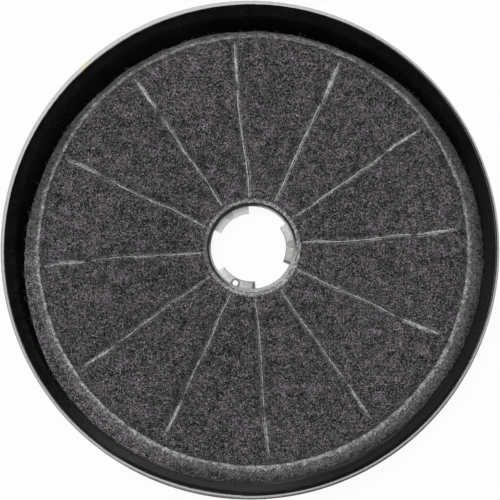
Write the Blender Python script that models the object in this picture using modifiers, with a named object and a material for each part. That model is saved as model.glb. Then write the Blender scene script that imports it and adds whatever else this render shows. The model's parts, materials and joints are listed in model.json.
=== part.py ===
"""Round carbon filter cassette of a cooker hood, lying on its grille with its felt side up.

One black moulding is the tray: a drafted wall, a slotted floor, twelve partition ribs, a
weld ring, a hub collar and three bayonet lugs. Twelve charges of carbon pellets fill the
cells between the ribs, and one sheet of felt, sealed to the ribs, keeps them in.
Metres, +Z up. The origin is on the hub's axis, in the plane that the tray lies on.
"""

import math

import bmesh
import bpy
from mathutils import Matrix

# Tray wall and foot
RIM_RADIUS = 0.1165
HEIGHT = 0.030
WALL = 0.0019
WALL_DRAFT = math.radians(16)
RIM_EDGE = 0.0003
FOOT_RADIUS = 0.006
FOOT_THICKNESS = 0.002
FOOT_WIDTH = 0.0054

# Slotted floor between the hub and the foot
GRILLE_LIFT = 0.0005
GRILLE_THICKNESS = 0.0018
SLOT_WIDTH = 0.0036
BAR_WIDTH = 0.0034
SPOKE_WIDTH = 0.0034
MID_SPOKE_WIDTH = 0.0022
LONGEST_SLOT = 0.026
SLOT_EDGE = 0.003

# Partition ribs and the ring that the felt's rim is sealed to
SECTORS = 12
FIRST_RIB = math.radians(5)
RIB_TOP = 0.014
RIB_THICKNESS = 0.0014
WELD_RING_INSET = 0.0046
WELD_RING_THICKNESS = 0.0018

# Hub collar
BORE_RADIUS = 0.0216
COLLAR_WALL = 0.0012
COLLAR_EDGE = 0.0005

# Bayonet lugs in the hub
LUGS = 3
LUG_ARC = math.radians(60)
LUG_DEPTH = 0.0042
LUG_LIFT = 0.0004
LUG_THICKNESS = 0.0025
LUG_HOLE_RADIUS = 0.0017
LUG_HOLE_INSET = 0.0015
LUG_RING_RADIUS = 0.0016
LUG_RING_WALL = 0.0005
LUG_RING_HEIGHT = 0.0006
LUG_DIMPLE_DEPTH = 0.001
STOP_WIDTH = 0.0009
STOP_HEIGHT = 0.0012

# Felt sheet
FELT_THICKNESS = 0.003
SEAM_THICKNESS = 0.0009
SEAM_HALF_WIDTH = 0.0045
SEAM_INNER_MARGIN = 0.0025
SEAM_INNER_STROKE = 0.0537
SEAM_BREAK_DEPTH = 0.00115
SEAM_OUTER_MARGIN = 0.0044
SEAM_END_RAMP = 0.003
CREASE_THICKNESS = 0.0014
CREASE_HALF_WIDTH = 0.004
MARGIN_THICKNESS = 0.0017
MARGIN_STANDOFF = 0.0031
MARGIN_RISE = 0.0055
MARGIN_CLIMB = 0.0018
MARGIN_CURL = 1.4
FELT_SHIFT = 0.0017
FELT_SHIFT_TOWARDS = math.radians(-38)
FELT_HOLE_SHIFT = 0.0006
FELT_HOLE_THICKNESS = 0.002

# Clearance between pieces that lie against each other
GAP = 0.0003

# How far one part of the moulding runs into the next where they are joined
JOIN = 0.0009

# Facets of a full turn, and of the shorter arcs
RIM_STEPS = 96
HUB_STEPS = 48
FOOT_STEPS = 5
FOOT_INNER_STEPS = 3
LONG_SLOT_STEPS = 3
HALF_SLOT_STEPS = 2
LUG_STEPS = 8
HOLE_STEPS = 12

# Columns of the felt's facets: shares of the way from a seam to its shoulder, and between
SEAM_SHARES = (0.3, 0.65, 1.0)
FLAT_SHARES = (0.25, 0.5, 0.75)

BOTTOM_OF_BED = GRILLE_LIFT + GRILLE_THICKNESS
BACK_OF_FELT = RIB_TOP + GAP
COLLAR_RADIUS = BORE_RADIUS + COLLAR_WALL
COLLAR_MIDDLE = BORE_RADIUS + COLLAR_WALL / 2
LUG_RADIUS = BORE_RADIUS - LUG_DEPTH
SECTOR = 2 * math.pi / SECTORS


def collection(name):
    made = bpy.data.collections.new(name)
    bpy.context.scene.collection.children.link(made)
    return made


def finish(name, colour, roughness, metallic=0.0):
    """A Principled material of one colour."""
    made = bpy.data.materials.new(name)
    made.use_nodes = True
    shader = made.node_tree.nodes["Principled BSDF"]
    shader.inputs["Base Color"].default_value = (*colour, 1.0)
    shader.inputs["Roughness"].default_value = roughness
    shader.inputs["Metallic"].default_value = metallic
    return made


def as_cutter(obj):
    """Marks an object that only shapes another one."""
    obj.hide_render = True
    obj.display_type = "WIRE"
    return obj


def turned(name, profile, steps, group):
    """A closed profile of (radius, height) points turned about Z."""
    mesh = bpy.data.meshes.new(name)
    ends = [(i, (i + 1) % len(profile)) for i in range(len(profile))]
    mesh.from_pydata([(r, 0.0, z) for r, z in profile], ends, [])
    obj = bpy.data.objects.new(name, mesh)
    group.objects.link(obj)
    screw = obj.modifiers.new("Turn", "SCREW")
    screw.angle = 2 * math.pi
    screw.steps = steps
    screw.render_steps = steps
    screw.merge_threshold = 0.00001
    return obj


def flat_curve(name, outlines, thickness):
    """A flat curve filled between its outlines, the inner ones being holes."""
    curve = bpy.data.curves.new(name, "CURVE")
    curve.dimensions = "2D"
    curve.fill_mode = "BOTH"
    curve.extrude = thickness / 2
    for outline in outlines:
        spline = curve.splines.new("POLY")
        spline.points.add(len(outline) - 1)
        for point, (x, y) in zip(spline.points, outline):
            point.co = (x, y, 0.0, 1.0)
        spline.use_cyclic_u = True
    return bpy.data.objects.new(name, curve)


def plate(name, outlines, bottom, thickness, group):
    """A mesh of that thickness from flat outlines, its underside at the height bottom."""
    flat = flat_curve(name + "_outline", outlines, thickness)
    flat.location.z = bottom + thickness / 2
    bpy.context.scene.collection.objects.link(flat)
    bpy.context.view_layer.update()
    graph = bpy.context.evaluated_depsgraph_get()
    mesh = bpy.data.meshes.new_from_object(flat.evaluated_get(graph))
    obj = bpy.data.objects.new(name, mesh)
    obj.matrix_world = flat.matrix_world
    curve = flat.data
    bpy.data.objects.remove(flat)
    bpy.data.curves.remove(curve)
    group.objects.link(obj)
    work = bmesh.new()
    work.from_mesh(mesh)
    bmesh.ops.remove_doubles(work, verts=work.verts, dist=0.000001)
    work.to_mesh(mesh)
    work.free()
    return obj


def boolean(obj, other, operation):
    """Joins or cuts. The exact solver leaves open edges where the ribs and the ring meet the
    foot, so this uses the one for closed solids."""
    cut = obj.modifiers.new(other.name, "BOOLEAN")
    cut.operation = operation
    cut.solver = "MANIFOLD"
    cut.object = as_cutter(other)


def smooth_round(obj, sharp=math.radians(30)):
    """Applies the modifiers, then shades the round faces smooth."""
    graph = bpy.context.evaluated_depsgraph_get()
    mesh = bpy.data.meshes.new_from_object(obj.evaluated_get(graph))
    obj.modifiers.clear()
    obj.data = mesh
    mesh.shade_smooth()
    mesh.set_sharp_from_angle(angle=sharp)


def polar(radius, angle):
    return radius * math.cos(angle), radius * math.sin(angle)


def circle(radius, steps, centre=(0.0, 0.0)):
    turns = [2 * math.pi * i / steps for i in range(steps)]
    return [(centre[0] + radius * math.cos(a), centre[1] + radius * math.sin(a)) for a in turns]


def arc(radius, start, end, steps):
    return [polar(radius, start + (end - start) * i / steps) for i in range(steps + 1)]


def smoothstep(x):
    x = min(max(x, 0.0), 1.0)
    return x * x * (3 - 2 * x)


def wall_radius(height, inset=0.0):
    """Radius of the drafted wall at a height, inset from its outer face."""
    return RIM_RADIUS - inset - (HEIGHT - height) * math.tan(WALL_DRAFT)


def foot_arc(inset, floor, steps):
    """Points round the foot, from the drafted wall down to a floor at that height."""
    radius = FOOT_RADIUS - inset
    turn = math.pi / 2 - WALL_DRAFT
    centre = wall_radius(floor, inset) - radius * math.tan(turn / 2)
    angles = [-WALL_DRAFT - turn * i / steps for i in range(steps + 1)]
    return [(centre + radius * math.cos(a), floor + radius * (1 + math.sin(a))) for a in angles]


def foot_inner_radius():
    """The inner edge of the flat ring that the tray lies on."""
    return foot_arc(0.0, 0.0, 1)[-1][0] - FOOT_WIDTH


def weld_ring_radius():
    """The middle of the weld ring, inset from the wall at the height of the ribs."""
    return wall_radius(RIB_TOP, WALL) - WELD_RING_INSET


def tray_wall(group):
    """The drafted wall with its rounded foot and the flat ring that the tray lies on."""
    inner = foot_inner_radius()
    profile = [(RIM_RADIUS - RIM_EDGE, HEIGHT), (RIM_RADIUS, HEIGHT - RIM_EDGE)]
    profile += foot_arc(0.0, 0.0, FOOT_STEPS)
    profile += [(inner, 0.0), (inner, FOOT_THICKNESS)]
    profile += reversed(foot_arc(WALL, FOOT_THICKNESS, FOOT_INNER_STEPS))
    profile += [(RIM_RADIUS - WALL, HEIGHT - RIM_EDGE), (RIM_RADIUS - WALL + RIM_EDGE, HEIGHT)]
    return turned("cassette_tray", profile, RIM_STEPS, group)


def slot(inner, start, end, start_spoke, end_spoke, steps):
    """One arc slot between two spokes whose sides are parallel."""
    outline = []
    for radius, forward in ((inner, True), (inner + SLOT_WIDTH, False)):
        first = start + math.asin(start_spoke / 2 / radius)
        last = end - math.asin(end_spoke / 2 / radius)
        outline += arc(radius, *((first, last) if forward else (last, first)), steps)
    return outline


def grille(group):
    """The floor between the hub and the foot, before its slots are cut."""
    outlines = [circle(foot_inner_radius() + 2 * JOIN, RIM_STEPS),
                circle(COLLAR_MIDDLE, HUB_STEPS)]
    return plate("grille", outlines, GRILLE_LIFT, GRILLE_THICKNESS, group)


def slot_row_radii():
    """The inner radius of each row of slots, centred between the collar and the foot."""
    outer = foot_inner_radius()
    pitch = SLOT_WIDTH + BAR_WIDTH
    rows = int((outer - COLLAR_RADIUS - 2 * SLOT_EDGE + BAR_WIDTH) / pitch)
    first = (outer + COLLAR_RADIUS - rows * pitch + BAR_WIDTH) / 2
    return [first + row * pitch for row in range(rows)]


def slot_cutters(group):
    """Rows of arc slots between spokes, one spoke below each rib and one between the ribs
    where a slot would grow too long for the pellets behind it."""
    cutters = []
    for row, inner in enumerate(slot_row_radii()):
        if inner * SECTOR - SPOKE_WIDTH < LONGEST_SLOT:
            cells = [slot(inner, 0.0, SECTOR, SPOKE_WIDTH, SPOKE_WIDTH, LONG_SLOT_STEPS)]
        else:
            middle = SECTOR / 2
            cells = [slot(inner, 0.0, middle, SPOKE_WIDTH, MID_SPOKE_WIDTH, HALF_SLOT_STEPS),
                     slot(inner, middle, SECTOR, MID_SPOKE_WIDTH, SPOKE_WIDTH, HALF_SLOT_STEPS)]
        for side, outline in enumerate(cells):
            name = f"slots_{row + 1}_{side + 1}"
            depth = GRILLE_LIFT + 2 * GRILLE_THICKNESS
            cutter = plate(name, [outline], -GRILLE_LIFT, GRILLE_LIFT + depth, group)
            cutters.append(repeated(cutter, SECTORS, FIRST_RIB, SECTOR))
    return cutters


def hub_collar(group):
    """The collar round the bore, rounded at its mouth and as high as the ribs."""
    mouth = [(BORE_RADIUS + COLLAR_EDGE * (1 - math.sin(a)),
              RIB_TOP - COLLAR_EDGE * (1 - math.cos(a)))
             for a in (math.pi / 2, math.pi / 4, 0.0)]
    profile = [(COLLAR_RADIUS, RIB_TOP), (COLLAR_RADIUS, 0.0), (BORE_RADIUS, 0.0), *mouth]
    return turned("hub_collar", profile, HUB_STEPS, group)


def weld_ring(group):
    """The upright ring beside the wall that the rim of the felt is sealed to."""
    outer = weld_ring_radius() + WELD_RING_THICKNESS / 2
    inner = weld_ring_radius() - WELD_RING_THICKNESS / 2
    root = FOOT_THICKNESS - JOIN
    profile = [(outer, RIB_TOP), (outer, root), (inner, root), (inner, RIB_TOP)]
    return turned("weld_ring", profile, RIM_STEPS, group)


def ribs(group):
    """The partition ribs, from the collar to the weld ring, in one mesh."""
    root = BOTTOM_OF_BED - JOIN
    outline = [(COLLAR_MIDDLE, root), (COLLAR_MIDDLE, RIB_TOP),
               (weld_ring_radius(), RIB_TOP), (weld_ring_radius(), root)]
    blade = plate("ribs", [outline], -RIB_THICKNESS / 2, RIB_THICKNESS, group)
    upright = Matrix.Rotation(math.pi / 2, 4, "X")
    blade.data.transform(upright @ blade.matrix_world)
    blade.matrix_world = Matrix.Identity(4)
    return repeated(blade, SECTORS, FIRST_RIB, SECTOR)


def repeated(obj, count, start, step):
    """Gives the object's mesh that many turned copies of itself about Z."""
    work = bmesh.new()
    for i in range(count):
        copy = obj.data.copy()
        copy.transform(Matrix.Rotation(start + i * step, 4, "Z") @ obj.matrix_world)
        work.from_mesh(copy)
        bpy.data.meshes.remove(copy)
    work.to_mesh(obj.data)
    work.free()
    obj.matrix_world = Matrix.Identity(4)
    return obj


def lugs(group):
    """The bayonet lugs: flat arcs that stand in from the bore at the grille end."""
    half = LUG_ARC / 2
    outline = arc(LUG_RADIUS, half, -half, LUG_STEPS)
    outline += arc(COLLAR_MIDDLE, -half, half, LUG_STEPS)
    blade = plate("lugs", [outline], LUG_LIFT, LUG_THICKNESS, group)
    return repeated(blade, LUGS, FIRST_RIB, 2 * math.pi / LUGS)


def lug_stops(group):
    """The two low stop ribs on the lugs, one each side of the lowest mouth between them."""
    root = LUG_LIFT + LUG_THICKNESS / 2
    height = LUG_THICKNESS / 2 + STOP_HEIGHT
    outline = [(LUG_RADIUS + STOP_WIDTH / 2, -STOP_WIDTH / 2), (COLLAR_MIDDLE, -STOP_WIDTH / 2),
               (COLLAR_MIDDLE, STOP_WIDTH / 2), (LUG_RADIUS + STOP_WIDTH / 2, STOP_WIDTH / 2)]
    stop = plate("lug_stops", [outline], root, height, group)
    inset = math.asin(STOP_WIDTH / LUG_RADIUS)
    first = FIRST_RIB - LUG_ARC / 2 + inset
    mouth = 2 * math.pi / LUGS - LUG_ARC + 2 * inset
    return repeated(stop, 2, first, -mouth)


def lug_posts(name, radius, bottom, height, count, first, group):
    """A round post in the middle of each of so many lugs."""
    outline = circle(radius, HOLE_STEPS, (BORE_RADIUS - LUG_HOLE_INSET, 0.0))
    post = plate(name, [outline], bottom, height, group)
    return repeated(post, count, first, 2 * math.pi / LUGS)


def lug_rings(group):
    """The low rings on all the lugs but one."""
    root = LUG_LIFT + LUG_THICKNESS / 2
    height = LUG_THICKNESS / 2 + LUG_RING_HEIGHT
    return lug_posts("lug_rings", LUG_RING_RADIUS, root, height, LUGS - 1, FIRST_RIB, group)


def lug_dimples(group):
    """The blind dimples in the rings."""
    bottom = LUG_LIFT + LUG_THICKNESS - LUG_DIMPLE_DEPTH
    radius = LUG_RING_RADIUS - LUG_RING_WALL
    return lug_posts("lug_dimples", radius, bottom, LUG_THICKNESS, LUGS - 1, FIRST_RIB, group)


def lug_hole(group):
    """The hole through the lug that has no ring, which just bites into the bore."""
    first = FIRST_RIB - 2 * math.pi / LUGS
    height = 3 * LUG_LIFT + LUG_THICKNESS
    return lug_posts("lug_hole", LUG_HOLE_RADIUS, -LUG_LIFT, height, 1, first, group)


def cassette_tray(parts, cutters, plastic):
    """The one moulding that holds everything."""
    tray = tray_wall(parts)
    tray.data.materials.append(plastic)
    for piece in (grille, hub_collar, weld_ring, ribs, lugs, lug_stops, lug_rings):
        boolean(tray, piece(cutters), "UNION")
    for cutter in (*slot_cutters(cutters), lug_dimples(cutters), lug_hole(cutters)):
        boolean(tray, cutter, "DIFFERENCE")
    smooth_round(tray)
    return tray


def carbon_charges(parts, carbon):
    """The bed of pellets in each cell, as one plain wedge a cell."""
    side = RIB_THICKNESS / 2 + GAP
    inner = COLLAR_RADIUS + GAP
    outer = weld_ring_radius() - WELD_RING_THICKNESS / 2 - GAP
    near = math.asin(side / inner)
    far = math.asin(side / outer)
    outline = arc(inner, SECTOR - near, near, 3) + arc(outer, far, SECTOR - far, 8)
    bottom = BOTTOM_OF_BED + GAP
    first = plate("carbon_charge_01", [outline], bottom, RIB_TOP - bottom, parts)
    first.data.materials.append(carbon)
    first.rotation_euler.z = FIRST_RIB
    for i in range(1, SECTORS):
        charge = bpy.data.objects.new(f"carbon_charge_{i + 1:02d}", first.data)
        charge.location = first.location
        charge.rotation_euler.z = FIRST_RIB + i * SECTOR
        parts.objects.link(charge)


def felt_shift(angle):
    """1 where the felt lies furthest out from the hub, -1 where it lies furthest in."""
    return math.cos(angle - FELT_SHIFT_TOWARDS)


def crease_radius(angle):
    """The felt is creased down over the weld ring, a little off centre."""
    return weld_ring_radius() + FELT_SHIFT * felt_shift(angle)


def felt_hole_radius(angle):
    """The felt's hole lies over the collar's top, a little towards +X."""
    return COLLAR_MIDDLE + FELT_HOLE_SHIFT * math.cos(angle)


def seam_ends():
    """The radii at which a seam starts, breaks between its two strokes, and ends."""
    start = COLLAR_RADIUS + SEAM_INNER_MARGIN
    return start, start + SEAM_INNER_STROKE, weld_ring_radius() - SEAM_OUTER_MARGIN


def seam_offset(radius, angle):
    """Distance to the nearest seam line."""
    turn = (angle - FIRST_RIB) % SECTOR
    return radius * math.sin(min(turn, SECTOR - turn))


def seam_depth(radius):
    """How deep a seam is pressed along its length: two strokes with a shallow break between."""
    start, middle, end = seam_ends()
    ends = smoothstep((radius - start) / SEAM_END_RAMP) * smoothstep((end - radius) / SEAM_END_RAMP)
    full = FELT_THICKNESS - SEAM_THICKNESS
    stroke = smoothstep(abs(radius - middle) / SEAM_END_RAMP)
    return ends * (SEAM_BREAK_DEPTH + (full - SEAM_BREAK_DEPTH) * stroke)


def felt_thickness(radius, angle):
    """The felt's thickness on the bed: full between the seams, thin where it is sealed."""
    rise = smoothstep(seam_offset(radius, angle) / SEAM_HALF_WIDTH)
    seam = FELT_THICKNESS - seam_depth(radius) * (1 - rise)
    rise = smoothstep((crease_radius(angle) - radius) / CREASE_HALF_WIDTH)
    return CREASE_THICKNESS + (seam - CREASE_THICKNESS) * rise


def felt_columns(radius):
    """The angles of the felt's columns in one sector, three steps up from each seam."""
    steps = [min(math.asin(SEAM_HALF_WIDTH * share / radius), SECTOR / 3 * share)
             for share in SEAM_SHARES]
    between = SECTOR - 2 * steps[-1]
    flat = [steps[-1] + between * share for share in FLAT_SHARES]
    return [0.0, *steps, *flat, *(SECTOR - s for s in reversed(steps))]


def felt_row_angles(radius):
    """The angles of one whole ring of the felt's columns."""
    return [FIRST_RIB + i * SECTOR + a for i in range(SECTORS) for a in felt_columns(radius)]


def margin(share, angle):
    """Radius and height on the back of the turned-up margin, from the crease to its tip."""
    rise = MARGIN_RISE + MARGIN_CLIMB * felt_shift(angle)
    standoff = GAP + MARGIN_STANDOFF * (1 - felt_shift(angle)) / 2
    tip = wall_radius(BACK_OF_FELT + rise, WALL) - standoff
    crease = crease_radius(angle)
    return crease + (tip - crease) * share, BACK_OF_FELT + rise * share ** MARGIN_CURL


def felt_cover(parts, felt):
    """The felt: a sheet sealed down along the ribs, its margin turned up along the wall."""
    start, middle, end = seam_ends()
    rings = [start, start + SEAM_END_RAMP, (start + middle) / 2, middle - SEAM_END_RAMP,
             middle, middle + SEAM_END_RAMP, end - SEAM_END_RAMP, end]
    work = bmesh.new()
    weight = work.verts.layers.deform.verify()

    def point(radius, height, angle, thickness):
        vert = work.verts.new((*polar(radius, angle), height))
        vert[weight][0] = thickness / FELT_THICKNESS
        return vert

    rows = [[point(felt_hole_radius(a), BACK_OF_FELT, a, FELT_HOLE_THICKNESS)
             for a in felt_row_angles(COLLAR_MIDDLE)]]
    rows += [[point(r, BACK_OF_FELT, a, felt_thickness(r, a)) for a in felt_row_angles(r)]
             for r in rings]
    angles = felt_row_angles(weld_ring_radius())
    for back in (CREASE_HALF_WIDTH / 2, 0.0):
        places = [(crease_radius(a) - back, a) for a in angles]
        rows.append([point(r, BACK_OF_FELT, a, felt_thickness(r, a)) for r, a in places])
    for share in (1 / 3, 1.0):
        rows.append([point(*margin(share, a), a, MARGIN_THICKNESS) for a in angles])
    for lower, upper in zip(rows, rows[1:]):
        for i in range(len(lower)):
            j = (i + 1) % len(lower)
            work.faces.new((lower[i], upper[i], upper[j], lower[j]))
    mesh = bpy.data.meshes.new("felt_cover")
    work.to_mesh(mesh)
    work.free()
    cover = bpy.data.objects.new("felt_cover", mesh)
    cover.vertex_groups.new(name="thickness")
    parts.objects.link(cover)
    cover.data.materials.append(felt)
    shell = cover.modifiers.new("Thickness", "SOLIDIFY")
    shell.thickness = FELT_THICKNESS
    shell.offset = 1.0
    shell.vertex_group = "thickness"
    smooth_round(cover, math.radians(50))
    return cover


def main():
    for obj in list(bpy.data.objects):
        bpy.data.objects.remove(obj)
    parts = collection("cooker_hood_carbon_filter")
    cutters = collection("cutters")
    cassette_tray(parts, cutters, finish("black_plastic", (0.012, 0.012, 0.012), 0.25))
    carbon_charges(parts, finish("carbon_pellets", (0.02, 0.02, 0.02), 0.8))
    felt_cover(parts, finish("grey_felt", (0.066, 0.061, 0.066), 0.95))


main()
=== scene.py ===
"""Studio scene of a round carbon filter cassette, lying on its grille with its felt side up.

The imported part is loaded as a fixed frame. The tray, the felt and the pellets are remade in
their places with the detail of the real ones, and loose fibres lie on the felt.
Metres, +Z up, the hub's axis at the origin, as in the frame.
"""

import json
import math
from functools import cached_property

import bmesh
import bpy
import numpy as np
from bpy.props import FloatProperty, FloatVectorProperty, IntProperty, PointerProperty
from mathutils import Matrix, Vector, noise

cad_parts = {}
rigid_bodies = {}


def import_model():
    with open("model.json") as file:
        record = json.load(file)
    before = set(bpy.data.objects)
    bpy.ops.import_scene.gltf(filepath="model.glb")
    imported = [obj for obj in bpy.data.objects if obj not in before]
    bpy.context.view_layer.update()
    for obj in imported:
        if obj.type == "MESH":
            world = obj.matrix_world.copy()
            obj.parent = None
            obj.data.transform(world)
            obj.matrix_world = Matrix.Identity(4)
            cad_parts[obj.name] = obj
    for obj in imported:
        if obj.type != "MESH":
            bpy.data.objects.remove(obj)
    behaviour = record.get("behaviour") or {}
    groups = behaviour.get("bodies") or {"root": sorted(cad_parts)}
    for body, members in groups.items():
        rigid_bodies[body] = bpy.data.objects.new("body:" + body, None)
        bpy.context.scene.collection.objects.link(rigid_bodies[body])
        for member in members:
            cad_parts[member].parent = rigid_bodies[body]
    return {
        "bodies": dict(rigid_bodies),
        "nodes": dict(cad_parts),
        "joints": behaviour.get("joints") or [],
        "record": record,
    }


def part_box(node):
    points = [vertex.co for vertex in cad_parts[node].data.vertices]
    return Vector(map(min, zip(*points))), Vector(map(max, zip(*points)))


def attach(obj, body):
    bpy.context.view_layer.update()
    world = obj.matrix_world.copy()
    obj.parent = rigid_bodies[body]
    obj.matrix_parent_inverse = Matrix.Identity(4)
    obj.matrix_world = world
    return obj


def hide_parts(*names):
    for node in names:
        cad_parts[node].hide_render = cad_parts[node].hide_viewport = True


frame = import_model()

bl_info = {
    "name": "Carbon filter cassette",
    "version": (1, 0, 0),
    "blender": (4, 5, 0),
    "location": "View3D > Sidebar > Filter",
    "description": "Rebuilds a cooker hood's carbon filter with its felt, pellets and tray",
    "category": "Object",
}

TRAY_LOW, TRAY_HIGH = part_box("cassette_tray")
BED_LOW, BED_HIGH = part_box("carbon_charge_01")
CHARGES = sorted(name for name in frame["nodes"] if name.startswith("carbon_charge"))

SECTORS = len(CHARGES)
SECTOR = 2 * math.pi / SECTORS
THIRD = 2 * math.pi / 3
FIRST_RIB = math.radians(5)
CLEARANCE = 0.0003
SEED = 7


def size(name, default, description):
    """A length that a user may change."""
    return FloatProperty(name=name, default=default, description=description,
                         unit="LENGTH", subtype="DISTANCE", precision=5)


def angle(name, degrees, description):
    return FloatProperty(name=name, default=math.radians(degrees), description=description,
                         subtype="ANGLE")


def pixels(name, default, description):
    return FloatProperty(name=name, default=default, description=description,
                         subtype="PIXEL")


def colour(name, default, description):
    return FloatVectorProperty(name=name, default=default, description=description,
                               subtype="COLOR", size=3, min=0.0, max=1.0)


class TraySizes(bpy.types.PropertyGroup):
    """The moulding's walls, slots and lugs."""

    wall: size("Wall", 0.0019, "Thickness of the drafted wall")
    draft: angle("Draft", 16, "How far the wall leans outwards")
    foot_radius: size("Foot radius", 0.006, "Radius of the foot's outer curve")
    foot_width: size("Foot width", 0.0054, "Width of the flat ring that the tray lies on")
    floor_lift: size("Floor lift", 0.0005, "Height of the slotted floor above the foot")
    floor_thickness: size("Floor thickness", 0.0018, "Thickness of the slotted floor")
    slot_width: size("Slot width", 0.0036, "Width of a slot")
    bar_width: size("Bar width", 0.0034, "Width of the bar between two rows of slots")
    spoke_width: size("Spoke width", 0.0034, "Width of the spoke below a rib")
    mid_spoke_width: size("Middle spoke width", 0.0022, "Width of the spoke between two ribs")
    longest_slot: size("Longest slot", 0.026, "A longer slot gets a spoke in its middle")
    rib_thickness: size("Rib thickness", 0.0014, "Thickness of a partition rib")
    ring_inset: size("Ring inset", 0.0046, "From the wall to the middle of the weld ring")
    ring_thickness: size("Ring thickness", 0.0018, "Thickness of the weld ring")
    bore_radius: size("Bore radius", 0.0216, "Radius of the hub's bore")
    collar_wall: size("Collar wall", 0.0012, "Thickness of the hub's collar")
    bore_taper: size("Bore taper", 0.00055, "How much narrower the bore is at its far end")
    lug_arc: angle("Lug arc", 60, "Angle that one bayonet lug spans")
    lug_depth: size("Lug depth", 0.0042, "How far a lug stands in from the bore")
    lug_lift: size("Lug lift", 0.0004, "Height of a lug's underside")
    lug_thickness: size("Lug thickness", 0.0025, "Thickness of a lug")
    hole_radius: size("Hole radius", 0.0017, "Radius of the hole through one lug")
    hole_inset: size("Hole inset", 0.0015, "From the bore to the middle of a hole")
    mark_radius: size("Mark radius", 0.0016, "Outer radius of the ring on a lug")
    mark_wall: size("Mark wall", 0.0005, "Width of the ring on a lug")
    mark_height: size("Mark height", 0.0006, "Height of the ring on a lug")
    dimple_depth: size("Dimple depth", 0.001, "Depth of the dimple inside a ring")
    plastic: colour("Plastic", (0.0036, 0.0036, 0.0038), "Colour of the moulding")
    # Pale colour of the scuffs, also used for the painted highlights and light on the rim, lugs
    # and bore.
    scuff_and_highlight: colour("Bloom", (0.86, 0.86, 0.84), "Colour of the scuffed rim and lugs")


class FeltSizes(bpy.types.PropertyGroup):
    """The quilted sheet."""

    thickness: size("Thickness", 0.003, "Thickness of the felt between its seams")
    seam_thickness: size("Seam thickness", 0.0009, "Thickness of the felt in a seam")
    seam_half_width: size("Seam half width", 0.0045, "From a seam's line to its shoulder")
    hole_thickness: size("Hole thickness", 0.002, "Thickness at the edge of the hole")
    hole_inset: size("Hole inset", 0.0003, "From the bore to the edge of the hole")
    pillow: size("Pillow", 0.0009, "Most that the pellets press the felt up between seams")
    seam_start: size("Seam start", 0.0253, "Distance from the axis to a seam's inner end")
    seam_break: size("Seam break", 0.079, "Distance to the break between its two strokes")
    seam_end: size("Seam end", 0.101, "Distance to a seam's outer end")
    seam_ramp: size("Seam ramp", 0.003, "Length over which a stroke of a seam ends")
    crease_thickness: size("Crease thickness", 0.0014, "Thickness over the weld ring")
    crease_half_width: size("Crease half width", 0.004, "Width of the slope to the crease")
    margin_thickness: size("Margin thickness", 0.0017, "Thickness of the turned-up margin")
    margin_standoff: size("Margin standoff", 0.0002, "Gap from the margin to the wall")
    margin_rise: size("Margin rise", 0.008, "How far the margin climbs the wall")
    margin_narrow: FloatProperty(name="Margin narrow", default=0.9, min=0.0, max=0.95,
                                 description="Share cut off the margin where it is narrowest")
    narrow_towards: angle("Narrow towards", 99, "Direction of that stretch")
    shift: size("Shift", 0.0017, "How far off centre the felt lies")
    shift_towards: angle("Shift towards", -38, "Direction of the shift")
    fibres: IntProperty(name="Fibres", default=8000, min=0,
                        description="Loose fibres of each tone that lie on the felt")
    felt: colour("Felt", (0.066, 0.061, 0.066), "Mean colour of the felt")
    pressed: colour("Pressed", (0.54, 0.53, 0.54), "Colour of the pressed seams")


class PelletSizes(bpy.types.PropertyGroup):
    """The extruded carbon."""

    radius: size("Radius", 0.0019, "Radius of a pellet")
    length: size("Length", 0.0058, "Mean length of a pellet")
    spacing: size("Spacing", 0.0041, "Least distance between two pellets' middles")
    carbon: colour("Carbon", (0.018, 0.018, 0.019), "Colour of the pellets")


class StageSizes(bpy.types.PropertyGroup):
    """Camera, lamp and floor."""

    camera_height: size("Camera height", 0.330, "Height of the camera above the floor")
    lens: FloatProperty(name="Lens", default=46.24, description="Focal length", unit="CAMERA")
    tilt_x: angle("Tilt about X", 1.625, "Turn of the camera about the X axis")
    tilt_y: angle("Tilt about Y", -1.218, "Turn of the camera about the Y axis")
    lamp_width: size("Lamp width", 0.5, "Width of the softbox")
    lamp_depth: size("Lamp depth", 0.4, "Depth of the softbox")
    lamp_height: size("Lamp height", 1.05, "Height of the softbox above the floor")
    lamp_back: size("Lamp back", 0.19, "How far the softbox stands towards +Y")
    lamp_left: size("Lamp left", 0.1, "How far the softbox stands towards -X")
    shift_x: pixels("Shift X", -15.66, "Shift of the picture's middle across")
    shift_y: pixels("Shift Y", -20.81, "Shift of the picture's middle upwards")
    picture: pixels("Picture", 500.0, "Width of the picture that the shifts belong to")
    lamp_power: FloatProperty(name="Lamp power", default=7.9, unit="POWER",
                              description="Power of the softbox")
    floor: colour("Floor", (0.9, 0.9, 0.9), "Colour of the floor")


def operator(operation, reflected=False):
    """A method that adds the Math node of that operation."""
    def method(self, *others):
        return self.math(operation, *((*others, self) if reflected else (self, *others)))
    return method


class Value:
    """One socket of a shader tree, with the arithmetic that adds its Math nodes."""

    def __init__(self, tree, socket):
        self.tree = tree
        self.socket = socket

    def math(self, operation, *values, clamp=False):
        settings = {"operation": operation, "use_clamp": clamp}
        made = new_node(self.tree, "ShaderNodeMath", settings, *values)
        return Value(self.tree, made.outputs[0])

    __add__ = __radd__ = operator("ADD")
    __mul__ = __rmul__ = operator("MULTIPLY")
    __sub__ = operator("SUBTRACT")
    __rsub__ = operator("SUBTRACT", reflected=True)
    __truediv__ = operator("DIVIDE")
    __rtruediv__ = operator("DIVIDE", reflected=True)
    __abs__ = operator("ABSOLUTE")
    sine = operator("SINE")
    cosine = operator("COSINE")
    turn = operator("ARCTAN2")
    fraction = operator("FRACT")
    root = operator("SQRT")
    least = operator("MINIMUM")
    most = operator("MAXIMUM")

    def clamped(self):
        return self.math("ADD", self, 0.0, clamp=True)

    def step(self, low, high):
        """0 below low, 1 above high, smooth between; high may be the lower one."""
        made = new_node(self.tree, "ShaderNodeMapRange", {"interpolation_type": "SMOOTHSTEP"},
                        self, low, high, 0.0, 1.0)
        return Value(self.tree, made.outputs[0])


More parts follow.
